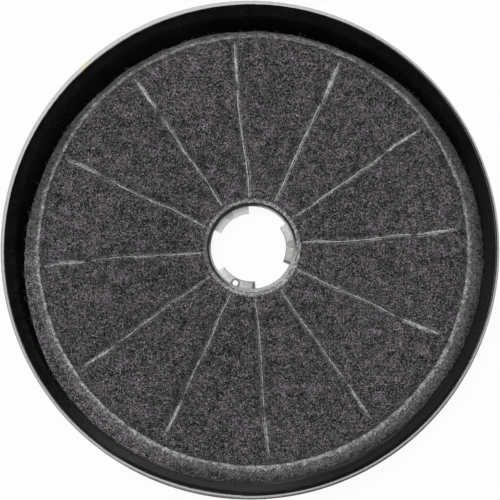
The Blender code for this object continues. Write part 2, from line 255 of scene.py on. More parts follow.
def plug(tree, slot, value):
    """Gives a socket a link, a number or a colour."""
    if isinstance(value, Value):
        value = value.socket
    if isinstance(value, bpy.types.NodeSocket):
        tree.links.new(value, slot)
    elif slot.type == "RGBA":
        slot.default_value = (*value[:3], 1.0)
    else:
        slot.default_value = value


def new_node(tree, kind, settings=None, *values, **sockets):
    """A node of that kind: its settings first, then its sockets by order or by name."""
    made = given(tree.nodes.new(kind), **(settings or {}))
    usable = [slot for slot in made.inputs if slot.enabled]
    for slot, value in zip(usable, values):
        plug(tree, slot, value)
    for name, value in sockets.items():
        label = name.replace("_", " ")
        plug(tree, next(slot for slot in usable if slot.name == label), value)
    return made


class Finish:
    """One material and the nodes that it is made of."""

    def __init__(self, name, **constants):
        self.material = bpy.data.materials.new(name)
        self.material.use_nodes = True
        self.tree = self.material.node_tree
        self.shader = self.tree.nodes["Principled BSDF"]
        for slot, value in constants.items():
            self.set(slot.replace("_", " "), value)
        self.place = self.node("ShaderNodeTexCoord").outputs["Object"]
        parts = self.node("ShaderNodeSeparateXYZ", {}, self.place).outputs
        self.x, self.y, self.z = (Value(self.tree, part) for part in parts)

    def node(self, kind, settings=None, *values, **sockets):
        return new_node(self.tree, kind, settings, *values, **sockets)

    def set(self, slot, value):
        plug(self.tree, self.shader.inputs[slot], value)

    @cached_property
    def radius(self):
        return (self.x * self.x + self.y * self.y).root()

    @cached_property
    def angle(self):
        return self.y.turn(self.x)

    def towards(self, degrees):
        """1 in that direction from the hub's axis, -1 in the opposite one."""
        return (self.angle - math.radians(degrees)).cosine()

    def stretched(self, scale, turn=0.0):
        """The object's coordinates, turned about Z and then scaled along each axis."""
        turned = self.node("ShaderNodeMapping", {}, Vector=self.place, Rotation=(0.0, 0.0, turn))
        return self.node("ShaderNodeMapping", {}, Vector=turned.outputs[0],
                         Scale=scale).outputs[0]

    def noise(self, scale, detail=2.0, roughness=0.5, distortion=0.0, vector=None):
        """Values round 0.5, finer with a higher scale."""
        made = self.node("ShaderNodeTexNoise", {}, Vector=vector or self.place, Scale=scale,
                         Detail=detail, Roughness=roughness, Distortion=distortion)
        return Value(self.tree, made.outputs[0])

    def cells(self, scale):
        """Distance from the middles of small cells."""
        made = self.node("ShaderNodeTexVoronoi", {}, Vector=self.place, Scale=scale)
        return Value(self.tree, made.outputs["Distance"])

    def mix(self, share, first, second):
        """A colour between two colours."""
        return self.node("ShaderNodeMix", {"data_type": "RGBA"}, share, first, second).outputs[2]

    def scaled(self, tint, amount):
        """A colour times a value."""
        return self.node("ShaderNodeVectorMath", {"operation": "SCALE"}, tint, amount).outputs[0]

    def bump(self, height, depth, strength=1.0):
        """Relief from a height of 0 to 1, over that depth."""
        made = self.node("ShaderNodeBump", {}, Height=height, Distance=depth, Strength=strength)
        self.set("Normal", made.outputs[0])


def whole_turn(steps):
    return [2 * math.pi * i / steps for i in range(steps)]


def polar(radius, angle, height):
    return radius * math.cos(angle), radius * math.sin(angle), height


def smoothstep(x):
    x = np.clip(x, 0.0, 1.0)
    return x * x * (3 - 2 * x)


def add(obj):
    bpy.context.scene.collection.objects.link(obj)
    return obj


def given(thing, **values):
    """The thing with those attributes set."""
    for name, value in values.items():
        setattr(thing, name, value)
    return thing


def placed(name, points, faces):
    """An object of those points and faces."""
    mesh = bpy.data.meshes.new(name)
    mesh.from_pydata(points, [], faces)
    return add(bpy.data.objects.new(name, mesh))


def bands(count, rows, columns):
    """Faces of that many bands between rows of points round the hub, back to row 0."""
    faces = []
    for i in range(count):
        lower, upper = i * columns, (i + 1) % rows * columns
        for j in range(columns):
            k = (j + 1) % columns
            faces.append((lower + j, upper + j, upper + k, lower + k))
    return faces


def solid(name, rings, closed=False):
    """A solid whose rings of points are joined one to the next, then closed or capped."""
    work = bmesh.new()
    loops = [[work.verts.new(point) for point in ring] for ring in rings]
    pairs = list(zip(loops, loops[1:]))
    if closed:
        pairs.append((loops[-1], loops[0]))
    else:
        work.faces.new(reversed(loops[0]))
        work.faces.new(loops[-1])
    for lower, upper in pairs:
        for i in range(len(lower)):
            j = (i + 1) % len(lower)
            work.faces.new((lower[i], lower[j], upper[j], upper[i]))
    bmesh.ops.recalc_face_normals(work, faces=work.faces)
    mesh = bpy.data.meshes.new(name)
    work.to_mesh(mesh)
    work.free()
    return add(bpy.data.objects.new(name, mesh))


def turned(name, profile, steps=240):
    """A closed profile of (radius, height) points turned about Z."""
    rings = [[polar(r, a, z) for a in whole_turn(steps)] for r, z in profile]
    return solid(name, rings, closed=True)


def rounded(radius, height, edge, start, end, steps):
    """Points of an arc in a profile, round the point that lies an edge inside the corner."""
    turns = [start + (end - start) * i / steps for i in range(steps + 1)]
    return [(radius + edge * math.cos(a), height + edge * math.sin(a)) for a in turns]


def plain_mesh(obj, name):
    """The object's evaluated mesh in a new object; the old one goes."""
    graph = bpy.context.evaluated_depsgraph_get()
    mesh = bpy.data.meshes.new_from_object(obj.evaluated_get(graph))
    mesh.name = name
    old = obj.data
    bpy.data.objects.remove(obj)
    bpy.data.meshes.remove(old)
    return add(bpy.data.objects.new(name, mesh))


def shaded(obj, sharp):
    """Shades an object smooth, but for edges that are sharper than so many degrees."""
    obj.data.shade_smooth()
    obj.data.set_sharp_from_angle(angle=math.radians(sharp))
    return obj


class Tree:
    """A Geometry Nodes tree with named inputs."""

    def __init__(self, name, **inputs):
        self.tree = bpy.data.node_groups.new(name, "GeometryNodeTree")
        face = self.tree.interface
        face.new_socket("Geometry", in_out="OUTPUT", socket_type="NodeSocketGeometry")
        face.new_socket("Geometry", in_out="INPUT", socket_type="NodeSocketGeometry")
        self.named = {}
        for label, kind in inputs.items():
            made = face.new_socket(label.replace("_", " "), in_out="INPUT",
                                   socket_type="NodeSocket" + kind)
            self.named[label] = made.identifier
        self.start = new_node(self.tree, "NodeGroupInput")
        self.end = new_node(self.tree, "NodeGroupOutput")

    def __getitem__(self, label):
        return self.start.outputs[label.replace("_", " ")]

    def node(self, kind, settings=None, *values, **sockets):
        """The first output of a node of that kind, its settings and sockets given."""
        family = "" if kind.startswith(("Shader", "Function")) else "GeometryNode"
        return new_node(self.tree, family + kind, settings, *values, **sockets).outputs[0]

    def math(self, operation, first, second=0.0):
        return self.node("ShaderNodeMath", {"operation": operation}, first, second)

    def scattered(self, points, instance, seed, turns, scales):
        """The instance on each point, its turn and scale at random between two vectors."""
        turn, grow = (self.node("FunctionNodeRandomValue", {"data_type": "FLOAT_VECTOR"},
                                Min=low, Max=high, Seed=seed) for low, high in (turns, scales))
        return self.node("InstanceOnPoints", {}, Points=points, Instance=instance,
                         Rotation=turn, Scale=grow)

    def finish(self, geometry, material):
        """Ends the tree in real geometry with its material."""
        real = self.node("RealizeInstances", {}, geometry)
        done = self.node("SetMaterial", {}, Geometry=real, Material=material)
        self.tree.links.new(done, self.end.inputs[0])

    def run(self, obj, name, **values):
        """Applies the tree to an object and returns the plain mesh."""
        modifier = obj.modifiers.new(name, "NODES")
        modifier.node_group = self.tree
        for label, value in values.items():
            modifier[self.named[label]] = value
        return plain_mesh(obj, name)


def copies_round_hub(material):
    """A tree that repeats a mesh about Z."""
    tree = Tree("Copies round the hub", Count="Int", First="Float", Step="Float")
    points = tree.node("Points", {}, tree["Count"])
    further = tree.math("MULTIPLY", tree.node("InputIndex"), tree["Step"])
    turn = tree.node("ShaderNodeCombineXYZ", {}, Z=tree.math("ADD", tree["First"], further))
    tree.finish(tree.node("InstanceOnPoints", {}, Points=points, Instance=tree["Geometry"],
                          Rotation=turn), material)
    return tree


def repeated(round_hub, piece, count, step, first=FIRST_RIB):
    """Equal steps of one piece about Z, the first one turned from where it was made."""
    return round_hub.run(piece, piece.name, Count=count, First=first, Step=step)


def wall_radius(sizes, height, inset=0.0):
    """Radius of the drafted wall at a height, inset from its outer face."""
    return TRAY_HIGH[0] - inset - (TRAY_HIGH[2] - height) * math.tan(sizes.draft)


def foot_arc(sizes, inset, floor, steps):
    """Points round the foot, from the drafted wall down to a floor at that height."""
    radius = sizes.foot_radius - inset
    turn = math.pi / 2 - sizes.draft
    centre = wall_radius(sizes, floor, inset) - radius * math.tan(turn / 2)
    return rounded(centre, floor + radius, radius, -sizes.draft, -math.pi / 2, steps)


def rib_top():
    """The charges end where the ribs end."""
    return BED_HIGH[2]


def weld_ring_radius(sizes):
    return wall_radius(sizes, rib_top(), sizes.wall) - sizes.ring_inset


def foot_inner_radius(sizes):
    return foot_arc(sizes, 0.0, 0.0, 1)[-1][0] - sizes.foot_width


def tray_wall(sizes):
    """The wall, its rounded rim and foot, and the flat ring below."""
    edge = 0.00032
    rim, top = TRAY_HIGH[0], TRAY_HIGH[2]
    floor = 0.002
    inner = foot_inner_radius(sizes)
    profile = rounded(rim - edge, top - edge, edge, math.pi / 2, 0.0, 4)
    profile += foot_arc(sizes, 0.0, 0.0, 14)
    profile += rounded(inner + edge, edge, edge, -math.pi / 2, -math.pi, 3)
    profile += [(inner, floor)]
    profile += reversed(foot_arc(sizes, sizes.wall, floor, 8))
    profile += rounded(rim - sizes.wall + edge, top - edge, edge, math.pi, math.pi / 2, 4)
    return turned("tray_wall", profile, steps=360)


def slot_outline(sizes, inner, ends, grow, height):
    """An arc slot with rounded corners between two spokes, grown by a margin."""
    corner = 0.0007
    nick = corner * (1 - math.sqrt(0.5))
    near, far = inner - grow, inner + sizes.slot_width + grow
    (start, start_spoke), (end, end_spoke) = ends

    def low(radius, cut=0.0):
        """The slot's first angle at a radius, less what the corner cuts off."""
        return start + math.asin(start_spoke / 2 / radius) + (cut - grow) / radius

    def high(radius, cut=0.0):
        return end - math.asin(end_spoke / 2 / radius) - (cut - grow) / radius

    sweep = [i / 5 for i in range(6)]
    outline = [(near, low(near, corner) + (high(near, corner) - low(near, corner)) * t)
               for t in sweep]
    outline += [(near + nick, high(near + nick, nick)), (near + corner, high(near + corner)),
                (far - corner, high(far - corner)), (far - nick, high(far - nick, nick))]
    outline += [(far, high(far, corner) + (low(far, corner) - high(far, corner)) * t)
                for t in sweep]
    outline += [(far - nick, low(far - nick, nick)), (far - corner, low(far - corner)),
                (near + corner, low(near + corner)), (near + nick, low(near + nick, nick))]
    return [polar(r, a, height) for r, a in outline]


def slots(sizes, round_hub):
    """Rows of slots, eased at the mouth, between the collar and the foot."""
    outer = foot_inner_radius(sizes)
    collar = sizes.bore_radius + sizes.collar_wall
    pitch = sizes.slot_width + sizes.bar_width
    plain = 0.006
    rows = int((outer - collar - plain + sizes.bar_width) / pitch)
    first = (outer + collar - rows * pitch + sizes.bar_width) / 2
    bottom = sizes.floor_lift
    top = bottom + sizes.floor_thickness
    ease = 0.00035
    levels = [(bottom - ease, 2 * ease), (bottom + ease, 0.0), (top + 2 * ease, 0.0)]
    cutters = []
    for row in range(rows):
        inner = first + row * pitch
        whole = [((0.0, sizes.spoke_width), (SECTOR, sizes.spoke_width))]
        if inner * SECTOR - sizes.spoke_width >= sizes.longest_slot:
            middle = (SECTOR / 2, sizes.mid_spoke_width)
            whole = [(whole[0][0], middle), (middle, whole[0][1])]
        for side, ends in enumerate(whole):
            rings = [slot_outline(sizes, inner, ends, grow, z) for z, grow in levels]
            cutter = solid(f"slots_{row}_{side}", rings)
            cutters.append(repeated(round_hub, cutter, SECTORS, SECTOR))
    return cutters


def floor_plate(sizes):
    """The plate that the slots are cut from, run into the foot and the collar."""
    join = 0.0018
    outer = foot_inner_radius(sizes) + join
    inner = sizes.bore_radius + sizes.collar_wall / 2
    bottom = sizes.floor_lift
    top = bottom + sizes.floor_thickness
    profile = [(outer, bottom), (outer, top), (inner, top), (inner, bottom)]
    return turned("floor_plate", profile)


def hub_collar(sizes):
    """The collar round the bore, with a rounded mouth and a broken edge below."""
    top, edge, broken = rib_top(), 0.0005, 0.0003
    outer = sizes.bore_radius + sizes.collar_wall
    far = sizes.bore_radius - sizes.bore_taper
    profile = [(outer, top), (outer, 0.0), (far + broken, 0.0), (far, broken)]
    profile += rounded(sizes.bore_radius + edge, top - edge, edge, math.pi, math.pi / 2, 8)
    return turned("hub_collar", profile, steps=180)


def weld_ring(sizes):
    """The ring that the felt's rim is sealed to, from inside the floor to the ribs' top."""
    middle, half, root = weld_ring_radius(sizes), sizes.ring_thickness / 2, 0.0011
    profile = [(middle + half, rib_top()), (middle + half, root), (middle - half, root),
               (middle - half, rib_top())]
    return turned("weld_ring", profile)


def ribs(sizes, round_hub):
    """The partition ribs from the collar to the weld ring."""
    half = sizes.rib_thickness / 2
    root = sizes.floor_lift + sizes.floor_thickness / 2
    inner = sizes.bore_radius + sizes.collar_wall / 2
    outer = weld_ring_radius(sizes)
    outline = [(inner, root), (inner, rib_top()), (outer, rib_top()), (outer, root)]
    rings = [[(r, y, z) for r, z in outline] for y in (-half, half)]
    return repeated(round_hub, solid("ribs", rings), SECTORS, SECTOR)


def lug_outline(inner, outer, half, edge, height):
    """The outline of a lug, drawn in by an edge from its free sides."""
    sweep = [i / 20 * 2 - 1 for i in range(21)]
    turn = half - edge / inner
    outline = [(inner + edge, -turn * t) for t in sweep] + [(outer, turn * t) for t in sweep]
    return [polar(r, a, height) for r, a in outline]


def lugs(sizes, round_hub):
    """Three flat lugs with eased edges."""
    inner = sizes.bore_radius - sizes.lug_depth
    outer = sizes.bore_radius + sizes.collar_wall / 2
    half = sizes.lug_arc / 2
    bottom, top = sizes.lug_lift, sizes.lug_lift + sizes.lug_thickness
    edge = 0.0002
    levels = [(bottom, edge), (bottom + edge, 0.0), (top - edge, 0.0), (top, edge)]
    rings = [lug_outline(inner, outer, half, grow, z) for z, grow in levels]
    return repeated(round_hub, solid("lugs", rings), 3, THIRD)


def disc(name, radius, edge, levels, centre, steps=28):
    """A round post with levels of (height, inset in edges)."""
    angles = whole_turn(steps)
    rings = [[(centre + (radius - inset * edge) * math.cos(a),
               (radius - inset * edge) * math.sin(a), z) for a in angles]
             for z, inset in levels]
    return solid(name, rings)


def lug_stops(sizes, round_hub, top, sunk):
    """The two low ribs at the ends of the lugs beside the lowest mouth."""
    inner = sizes.bore_radius - sizes.lug_depth
    outer = sizes.bore_radius + sizes.collar_wall / 2
    half, height = 0.00045, 0.0012
    plan = [(inner + half, -half), (outer, -half), (outer, half), (inner + half, half)]
    rings = [[(x, y, z) for x, y in plan] for z in (top - sunk, top + height)]
    inset = math.asin(2 * half / inner)
    return repeated(round_hub, solid("lug_stops", rings), 2,
                    sizes.lug_arc - THIRD - 2 * inset, FIRST_RIB - sizes.lug_arc / 2 + inset)


def lug_details(sizes, round_hub):
    """The rings and stop ribs that stand on the lugs, and the hole and dimples in them."""
    top = sizes.lug_lift + sizes.lug_thickness
    centre = sizes.bore_radius - sizes.hole_inset
    sunk, ease = 0.001, 0.00015
    rise = top + sizes.mark_height
    ring = disc("lug_rings", sizes.mark_radius, ease,
                [(top - sunk, 0), (rise - ease, 0), (rise, 1)], centre)
    rings = repeated(round_hub, ring, 2, THIRD)
    dimple = disc("lug_dimples", sizes.mark_radius - sizes.mark_wall, ease,
                  [(top - sizes.dimple_depth, 1), (top - sizes.dimple_depth + ease, 0),
                   (rise - ease, 0), (rise + ease, -2)], centre)
    dimples = repeated(round_hub, dimple, 2, THIRD)
    hole = disc("lug_hole", sizes.hole_radius, ease,
                [(-sizes.lug_lift, 2.6), (top - 3 * ease, 0.6), (top - ease, 0),
                 (top + ease, -1.5)], centre)
    hole = repeated(round_hub, hole, 1, 0.0, FIRST_RIB - THIRD)
    return [rings, lug_stops(sizes, round_hub, top, sunk)], [dimples, hole]


def rim_scuffs_and_highlight(look, grain, patches):
    """The rim's land, pale from scuffs and from painted highlight, where it lies, and the
    distance in from its edge.
    """
    # Painted highlight: the pale band of the land is wider in some directions.
    land = ((look.angle - math.radians(115)) * 2).cosine() * 0.00036 + 0.00143
    land = land + look.towards(168) * 0.00026 + look.towards(254).step(0.95, 1.0) * 0.0004
    inward = look.radius - TRAY_HIGH[0] + land + (look.noise(300, 1) - 0.5) * 0.0003
    top = TRAY_HIGH[2]
    on_rim = look.z.step(top - 0.0018, top - 0.0012) * inward.step(-0.0001, 0.0001)
    on_rim = on_rim * (TRAY_HIGH[0] - look.radius).step(0.0, 0.00012)
    blotches = look.noise(230, 3, 0.65).step(0.36, 0.6)
    # Painted shade: blotches darken the land on the side towards 282°.
    shade = look.towards(282).step(0.3, 0.9)
    # Painted highlight: the outer part of the land is paler towards 118° and darker away from it.
    outer_part = (0.33 + look.towards(118) * 0.28) * (1 - shade * blotches * 0.6)
    # Painted highlight: a pale line along the land's inner edge, brighter towards 118°.
    highlight_line = 0.5 + look.towards(118) * 0.11
    scuffed_and_lit = on_rim * (outer_part + (highlight_line - outer_part) * inward.step(0.0009, 0.0006))
    return scuffed_and_lit * (0.8 + 0.5 * (grain - 0.5) + 0.3 * patches), on_rim, inward


def shade_round_lug_marks(look, sizes):
    """Dark outlines round the rings on the lugs, and round the one hole: painted shade beside
    each ring and on the hole's wall.
    """
    third = ((look.angle - FIRST_RIB) / THIRD + 0.5).fraction() - 0.5
    beside = (third * THIRD).sine() * look.radius
    beyond = (third * THIRD).cosine() * look.radius - sizes.bore_radius + sizes.hole_inset
    from_mark = (beside * beside + beyond * beyond).root()
    outline = abs(from_mark - sizes.mark_radius - 0.0002).step(0.00045, 0.0001)
    hole = abs(from_mark - sizes.hole_radius - 0.00035).step(0.0006, 0.0002)
    hole = hole * look.towards(245).step(0.9, 0.95)
    return (1 - 0.6 * outline) * (1 - 0.75 * hole)


def lug_scuffs_and_light(look, sizes, mottle):
    """The pale tops of the lugs and dimples, scuffed and with painted highlight and painted
    shadow, and where the lugs are.
    """
    bore, radius = sizes.bore_radius, look.radius
    top = sizes.lug_lift + sizes.lug_thickness
    on_top = look.z.step(top - 0.0003, top - 0.0001) * look.z.step(top + 0.0009, top + 0.0007)
    dimple = abs(look.z - top + sizes.dimple_depth).step(0.0002, 0.00005) * 0.85
    on_lugs = radius.step(bore + 0.0001, bore - 0.0002) * on_top.most(dimple)
    # Painted shadow: the lugs darken next to the bore's wall on the side towards 132°, where the
    # collar shades them.
    collar_shadow = radius.step(bore - 0.0012, bore - 0.0005) * look.towards(132).step(0.2, 0.7)
    from_edge = radius - bore + sizes.lug_depth
    edge_line = abs(from_edge - 0.00045).step(0.00035, 0.0001)
    # Painted highlight: the lugs are paler on the side towards 125°.
    side = (0.76 + look.towards(125) * 0.46) * shade_round_lug_marks(look, sizes)
    side = side * (1 - 0.85 * collar_shadow) * (1 - 0.4 * edge_line * mottle)
    free_edge = 0.6 + 0.4 * from_edge.step(0.0001, 0.0005)
    return on_lugs * side * (0.78 + 0.5 * mottle) * free_edge, on_lugs


def mouth_wear_and_light(look, sizes, on_lugs, mottle):
    """The pale parts of the bore's wall, part wear and part painted light, and where that wall
    is.
    """
    bore, taper = sizes.bore_radius, sizes.bore_taper
    mouth = look.radius.step(bore - taper - 0.0001, bore - taper + 0.00005)
    mouth = mouth * look.radius.step(bore + 0.002, bore + 0.0016) * (1 - on_lugs.clamped())
    mouth = mouth * look.z.step(0.0006, 0.0014)
    lower_part = look.towards(35).step(0.6, 0.85).most(look.towards(214).step(0.72, 0.92))
    # Pale low down on the wall towards 35° and 214°.
    deep = look.z.step(0.01, 0.007) * lower_part
    # Painted light: the wall is pale on the side towards 298°, which faces the lamp.
    lit = look.towards(298).step(0.2, 0.75)
    return mouth * lit.most(deep) * (0.55 + 0.4 * mottle), mouth


def wall_film_and_glints(look, patches, inward):
    """The grey film on the wall, streaked down it, with a smear near the top; how strong it is in
    each direction is painted reflection.
    """
    streaks = look.noise(34, 4, 0.7, 0.6, look.stretched((1.0, 1.0, 22.0))).step(0.42, 0.75)
    wall = (look.radius - TRAY_HIGH[0] * 0.88).step(0.0, 0.004)
    # Painted reflection: the film is strongest on the lower wall towards 254° and faint towards
    # 137° and 8°.
    glint_spreads = ((254, 0.8, 0.99, 0.055), (292, -0.1, 0.9, 0.028), (137, 0.75, 0.95, 0.005),
               (8, 0.92, 0.99, 0.006))
    film_and_glints = wall * (0.75 + 0.6 * streaks) * sum(
        look.towards(middle).step(low, high) * share for middle, low, high, share in glint_spreads)
    # No film in a band just inside the land, which leaves a dark line there.
    band_inside_land = inward.step(-0.0011, -0.0006) * inward.step(0.0, -0.0003)
    smear = abs(look.radius - 0.1121 + (patches - 0.5) * 0.0012).step(0.00045, 0.0001)
    smear = smear * look.towards(293).step(0.9, 0.95) * streaks.most(0.4)
    return film_and_glints * (1 - 0.8 * band_inside_land) + smear * 0.14


def stained_spot(look):
    """A small yellowish stain at the upper left of the rim."""
    left, up, reach, full = 0.0786, 0.0849, 0.0048, 0.001
    across, along = look.x + left, look.y - up
    return (across * across + along * along).root().step(reach, full)


def black_plastic(sizes):
    """Glossy moulded plastic, scuffed pale on the rim, the hub's mouth and the lugs, with painted
    highlights, light and shade there and painted reflection on the wall.
    """
    look = Finish("black_plastic", IOR=1.5, Specular_IOR_Level=0.35)
    grain, patches = look.noise(900, 2, 0.6), look.noise(55, 3, 0.6)
    mottle = look.noise(620, 3, 0.7).step(0.3, 0.7)
    dust = look.noise(2600, 1, 0.7).step(0.62, 0.7) * patches.step(0.42, 0.62)
    scuffed_and_lit, on_rim, inward = rim_scuffs_and_highlight(look, grain, patches)
    worn_and_lit_lugs, on_lugs = lug_scuffs_and_light(look, sizes, mottle)
    worn_and_lit_mouth, mouth = mouth_wear_and_light(look, sizes, on_lugs, mottle)
    # pale holds scuffs, dust and the wall's film, with the painted highlights, light, shade and
    # reflection of the masks above.
    pale = scuffed_and_lit + worn_and_lit_lugs + worn_and_lit_mouth + wall_film_and_glints(look, patches, inward) + dust * 0.04
    pale = pale.clamped()
    tint = look.mix(pale, sizes.plastic, sizes.scuff_and_highlight)
    stain = stained_spot(look) * on_rim * 0.6
    look.set("Base Color", look.mix(stain, tint, (0.62, 0.62, 0.3)))
    rough = 0.12 + patches * 0.14 + pale * 0.45 + dust * 0.2
    look.set("Roughness", rough.most(mouth * 0.95).clamped())
    relief = patches * 0.5 + grain * (0.04 + on_rim * 0.4 + worn_and_lit_lugs * 0.3)
    look.bump(relief, 0.00012, 0.6)
    return look.material


def tray(sizes):
    """The one moulding, joined and cut, in one closed mesh."""
    material = black_plastic(sizes)
    round_hub = copies_round_hub(material)
    made = tray_wall(sizes)
    marks, holes = lug_details(sizes, round_hub)
    raised = [floor_plate(sizes), hub_collar(sizes), weld_ring(sizes), ribs(sizes, round_hub),
              lugs(sizes, round_hub), *marks]
    others = [(other, "UNION") for other in raised]
    others += [(cutter, "DIFFERENCE") for cutter in (*slots(sizes, round_hub), *holes)]
    for other, operation in others:
        given(made.modifiers.new(other.name, "BOOLEAN"), operation=operation,
              solver="MANIFOLD", object=other)
    piece = plain_mesh(made, "tray_moulding")
    for other, _ in others:
        bpy.data.objects.remove(other)
    piece.data.materials.clear()
    piece.data.materials.append(material)
    return shaded(piece, sharp=32)


def felt_back():
    """Height of the back of the felt on the bed."""
    return rib_top() + CLEARANCE


def crease_radius(felt, tray_sizes, angle):
    """The felt is creased down over the weld ring, a little off centre."""
    return weld_ring_radius(tray_sizes) + felt.shift * np.cos(angle - felt.shift_towards)


def felt_thickness(felt, tray_sizes, radius, angle):
    """Full between the seams, thin where the sheet is sealed down."""
    turn = (angle - FIRST_RIB) % SECTOR
    across = radius * np.sin(np.minimum(turn, SECTOR - turn))
    ends = smoothstep((radius - felt.seam_start) / felt.seam_ramp)
    ends = ends * smoothstep((felt.seam_end - radius) / felt.seam_ramp)
    full = felt.thickness - felt.seam_thickness
    stroke = smoothstep(np.abs(radius - felt.seam_break) / felt.seam_ramp)
    depth = ends * full * (0.55 + 0.45 * stroke)
    rise = smoothstep(across / felt.seam_half_width) ** 0.8
    seam = felt.thickness - depth * (1 - rise)
    slope = (crease_radius(felt, tray_sizes, angle) - radius) / felt.crease_half_width
    return felt.crease_thickness + (seam - felt.crease_thickness) * smoothstep(slope)


def hole_radius(felt, tray_sizes, angle):
    """The hole lies over the collar's top, cut a little ragged."""
    ragged = lumps(np.cos(angle), np.sin(angle), 11, 6.4) * 0.00012
    return tray_sizes.bore_radius + felt.hole_inset + ragged


def lumps(x, y, scale, seed):
    """Smooth unevenness from -1 to 1."""
    return np.array([noise.noise((u * scale, v * scale, seed)) for u, v in zip(x, y)])


def felt_cloth(felt, inner, outer, rows, each, scale):
    """A flat ring of cloth, pinned at the hub, the strokes of the seams and the weld ring."""
    columns = SECTORS * each
    reach = np.linspace(inner, outer, rows)
    turns = FIRST_RIB + 2 * math.pi * np.arange(columns) / columns
    points = [polar(r * scale, a, 0.0) for r in reach for a in turns]
    obj = placed("felt_cloth", points, bands(rows - 1, rows, columns))
    pinned = [i * columns + j for i, r in enumerate(reach) for j in range(columns)
              if i in (0, rows - 1) or (j % each == 0 and felt.seam_start < r < felt.seam_end
                                        and abs(r - felt.seam_break) > felt.seam_ramp / 2)]
    obj.vertex_groups.new(name="pins").add(pinned, 1.0, "REPLACE")
    return obj


def stepped_cloth(obj, frames):
    """Runs Cloth with pressure and no gravity on an object, and returns its heights."""
    cloth = obj.modifiers.new("Cloth", "CLOTH")
    given(cloth.settings, quality=5, mass=0.3, tension_stiffness=30, compression_stiffness=30,
          vertex_group_mass="pins", use_pressure=True, uniform_pressure_force=4.0)
    given(cloth.settings.effector_weights, gravity=0.0)
    given(cloth.collision_settings, use_collision=False)
    given(cloth.point_cache, frame_start=1, frame_end=frames)
    scene = bpy.context.scene
    for frame in range(1, frames + 1):
        scene.frame_set(frame)
    graph = bpy.context.evaluated_depsgraph_get()
    mesh = bpy.data.meshes.new_from_object(obj.evaluated_get(graph))
    heights = np.array([vert.co.z for vert in mesh.vertices])
    scene.frame_set(1)
    bpy.data.meshes.remove(mesh)
    bpy.data.objects.remove(obj)
    return heights


def settled_pillows(felt, tray_sizes):
    """Lets the bed press a cloth up between its seams, and returns its rise at any place.

    The cloth is simulated at ten times its size, where Blender's Cloth is stable, and its rise
    is capped afterwards.
    """
    scale, each, rows, frames = 10.0, 10, 26, 20
    columns = SECTORS * each
    from_bore, from_crease = 0.002, 0.0005
    inner = tray_sizes.bore_radius + from_bore
    outer = weld_ring_radius(tray_sizes) - felt.shift - from_crease
    heights = stepped_cloth(felt_cloth(felt, inner, outer, rows, each, scale), frames)
    risen = felt.pillow * np.tanh(abs(heights).reshape(rows, columns) / scale / felt.pillow)
    risen = np.concatenate([risen, risen[:, :1]], 1)

    def rise(radius, angle):
        """Blends the four nearest points of the settled cloth."""
        row = np.clip((radius - inner) / (outer - inner), 0, 1) * (rows - 1.001)
        column = (angle - FIRST_RIB) % (2 * math.pi) / (2 * math.pi) * columns
        i, j = row.astype(int), np.minimum(column.astype(int), columns - 1)
        u, v = row - i, column - j
        near = risen[i, j] * (1 - v) + risen[i, j + 1] * v
        far = risen[i + 1, j] * (1 - v) + risen[i + 1, j + 1] * v
        return near * (1 - u) + far * u

    return rise


def felt_columns():
    """Angles of the sheet's columns, closer together at the seams."""
    share = np.linspace(0, 1, 48, endpoint=False)
    eased = share - 0.22 * np.sin(2 * np.pi * share) / np.pi
    return (FIRST_RIB + SECTOR * (np.arange(SECTORS)[:, None] + eased[None, :])).ravel()


def quilted_rows(felt, tray_sizes, angles, inner, crease):
    """The upper face from the hole to the crease, as rows of radius and height."""
    pillows = settled_pillows(felt, tray_sizes)
    shoulder, slope, edge = 0.002, 0.0035, 0.0012
    rows = []
    for t in np.linspace(0, 1, 104):
        radius = inner + (crease - inner) * t
        x, y = radius * np.cos(angles), radius * np.sin(angles)
        thick = felt_thickness(felt, tray_sizes, radius, angles)
        soft = smoothstep((thick - felt.seam_thickness) / shoulder)
        uneven = lumps(x, y, 90, 1.3) * 0.00022 + lumps(x, y, 300, 4.1) * 0.00008
        full = smoothstep((radius - inner) / slope)
        thick = felt.hole_thickness + (thick - felt.hole_thickness) * full
        thick = thick * (0.72 + 0.28 * smoothstep((radius - inner) / edge))
        rows.append((radius, felt_back() + thick + (uneven + pillows(radius, angles)) * soft))
    return rows


def margin_tip(felt, tray_sizes, angles, crease):
    """Radius and rise of the margin's ragged tip, which is narrower in some directions."""
    x, y = np.cos(angles), np.sin(angles)
    ragged = lumps(x, y, 9, 2.2) * 0.0006 + lumps(x, y, 40, 5.2) * 0.00025
    torn = lumps(x, y, 60, 3.4) * 0.0011 * np.clip(np.cos(angles - math.radians(285)), 0, 1)
    rise = felt.margin_rise + ragged + torn
    tip = wall_radius(tray_sizes, felt_back() + rise, tray_sizes.wall)
    tip -= CLEARANCE + felt.margin_standoff
    narrow = np.clip((np.cos(angles - felt.narrow_towards) + 0.4) / 1.4, 0, 0.87) ** 1.45
    for middle, share, low, spread in ((182, 0.16, 0.78, 0.2), (292, 0.09, 0.7, 0.25)):
        beside = np.cos(angles - math.radians(middle))
        narrow += share * smoothstep((beside - low) / spread)
    left = 1 - felt.margin_narrow * narrow * (1 + ragged * 120)
    return crease + (tip - crease) * left, rise * left


def margin_rows(felt, angles, crease, tip, rise):
    """The margin, from the crease up to its tip and down its back again."""
    back, curl, rows = felt_back(), 1.4, []
    for t in np.linspace(0, 1, 15)[1:]:
        spread = felt.crease_thickness + (felt.margin_thickness - felt.crease_thickness) * t
        slope = math.atan(curl * t ** (curl - 1))
        radius = crease + (tip - crease) * t
        height = back + rise * t ** curl
        wave = lumps(radius * np.cos(angles), radius * np.sin(angles), 160, 8.0) * 0.00018
        rows.append((radius - math.sin(slope) * (spread + wave),
                     height + math.cos(slope) * (spread + wave)))
    for t in (1.0, 0.6, 0.3):
        rows.append((crease + (tip - crease) * t, back + rise * t ** curl))
    return rows


